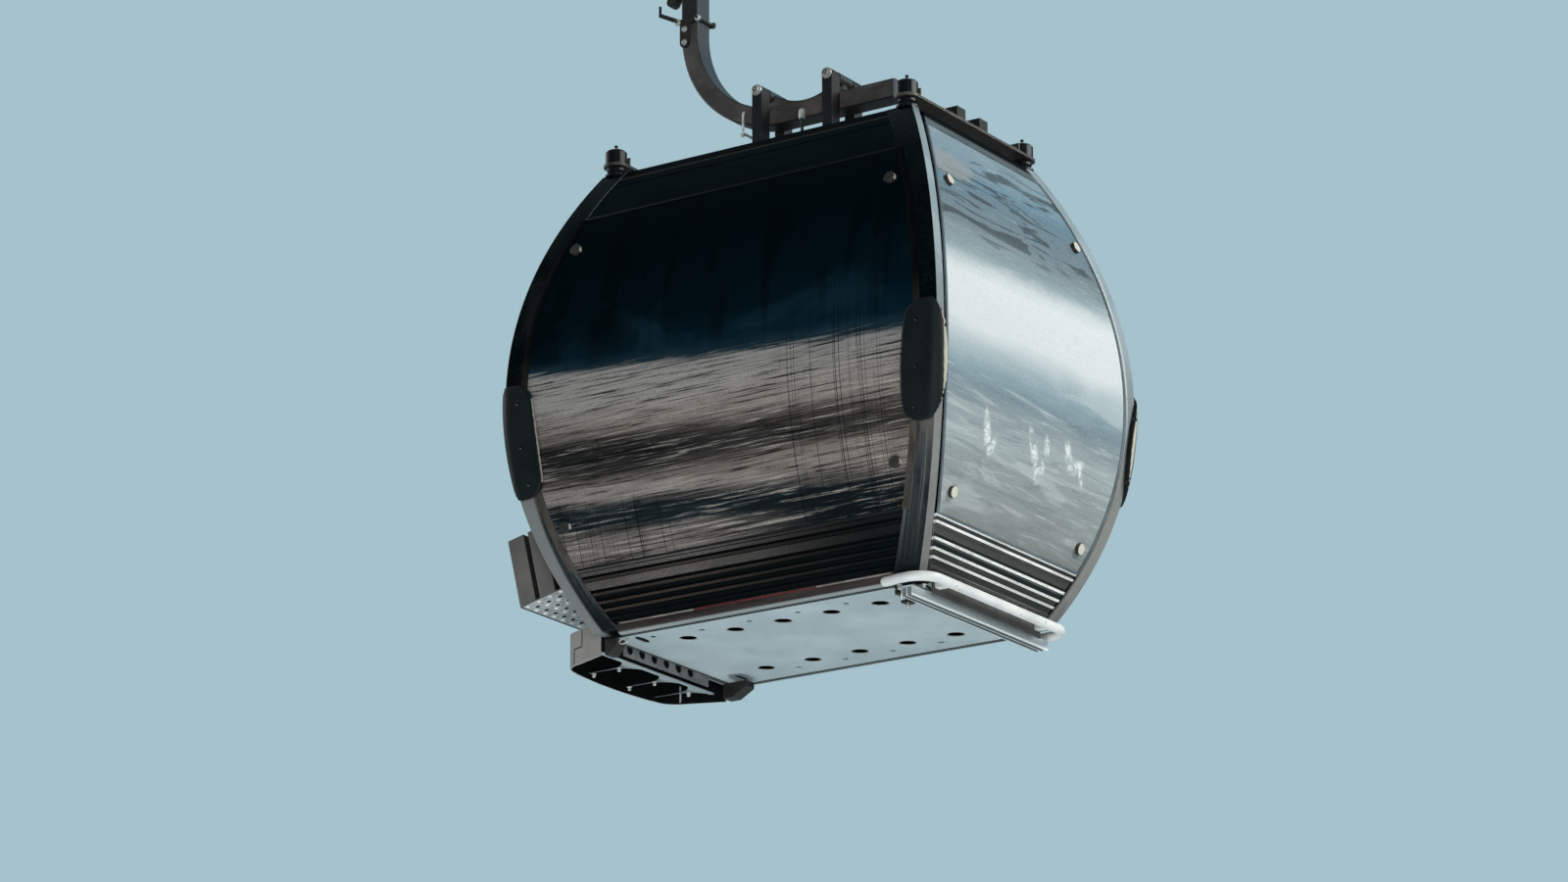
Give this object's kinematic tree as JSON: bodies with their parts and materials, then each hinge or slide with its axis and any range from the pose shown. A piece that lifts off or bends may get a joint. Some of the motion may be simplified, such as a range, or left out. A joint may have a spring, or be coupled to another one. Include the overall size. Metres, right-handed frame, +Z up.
{
  "type": "gondola lift cabin with hanger and detachable grip",
  "caption": "Barrel-shaped gondola cabin with curved tinted windows, ski racks and bumper pads, hung by a bent arm from a detachable rope grip.",
  "frame": {"origin": "middle of the rope in the jaws of the grip", "axes": "+Z up, +Y along the rope, doors towards -X"},
  "size_m": [2.7448, 1.89, 4.696],
  "materials": {
    "post_black": "glossy black paint",
    "window_tint": "dark tinted acrylic, glossy",
    "skirt_metal": "dark anodised ribs",
    "floor_metal": "weathered sheet",
    "rail_metal": "satin extrusion",
    "bumper_white": "pale galvanised tube",
    "pad_rubber": "moulded rubber",
    "mount_rubber": "bonded rubber",
    "rack_plastic": "grained plastic",
    "bench_cover": "dark upholstery",
    "arm_steel": "weathered dark coating",
    "frame_steel": "weathered dark coating",
    "button_steel": "pale caps, weathered",
    "pin_steel": "zinc plated",
    "grip_steel": "forged and blasted",
    "plate_steel": "worn by drive tyres",
    "wheel_plastic": "cast polyurethane"
  },
  "bodies": {
    "grip": {"grip_body": "grip_steel", "jaw_pin": "pin_steel", "friction_plate": "plate_steel"},
    "cabin": {"corner_post_door_front": "post_black", "corner_post_door_back": "post_black", "corner_post_far_front": "post_black", "corner_post_far_back": "post_black", "roof_rails": "post_black", "door_leaf_front": "post_black", "door_leaf_back": "post_black", "door_sill": "post_black", "roof_panel": "post_black", "end_window_front": "window_tint", "end_window_back": "window_tint", "side_window": "window_tint", "door_glass_front": "window_tint", "door_glass_back": "window_tint", "door_side_panel_front": "window_tint", "door_side_panel_back": "window_tint", "end_skirt_front": "skirt_metal", "end_skirt_back": "skirt_metal", "side_skirt": "skirt_metal", "floor_sheet": "floor_metal", "floor_deck": "floor_metal", "step_housing": "floor_metal", "hole_strip": "floor_metal", "floor_rails": "rail_metal", "guide_channel": "rail_metal", "bumper_tube": "bumper_white", "bumper_pads": "pad_rubber", "rubber_mounts": "mount_rubber", "ski_rack_front": "rack_plastic", "ski_rack_back": "rack_plastic", "bench_front": "bench_cover", "bench_back": "bench_cover", "hanger_arm": "arm_steel", "arm_bracket": "arm_steel", "window_buttons": "button_steel", "roof_bars": "frame_steel", "cross_beams": "frame_steel", "suspension_straps": "frame_steel", "bumper_carrier": "frame_steel", "step_brackets": "frame_steel", "hanger_pins": "pin_steel"},
    "jaw": {"moving_jaw": "grip_steel"},
    "roller": {"lever_roller": "wheel_plastic"},
    "wheel_front": {"running_wheel_front": "wheel_plastic"},
    "wheel_back": {"running_wheel_back": "wheel_plastic"}
  },
  "joints": [
    {"name": "hanger_swing", "type": "hinge", "parent": "grip", "child": "cabin", "pos_m": [-0.14, 0, -0.02], "axis": [1, 0, 0], "range_deg": [-35, 35]},
    {"name": "jaw_opening", "type": "hinge", "parent": "grip", "child": "jaw", "pos_m": [0.078, 0, 0.096], "axis": [0, -1, 0], "range_deg": [0, 20], "stiffness_Nm_per_rad": 200, "springref_deg": -11.46},
    {"name": "lever_roller_spin", "type": "hinge", "parent": "jaw", "child": "roller", "pos_m": [0.361, 0, 0.112], "axis": [1, 0, 0], "continuous": true},
    {"name": "wheel_front_spin", "type": "hinge", "parent": "grip", "child": "wheel_front", "pos_m": [0.154, -0.205, 0.096], "axis": [1, 0, 0], "continuous": true},
    {"name": "wheel_back_spin", "type": "hinge", "parent": "grip", "child": "wheel_back", "pos_m": [0.154, 0.205, 0.096], "axis": [1, 0, 0], "continuous": true}
  ]
}
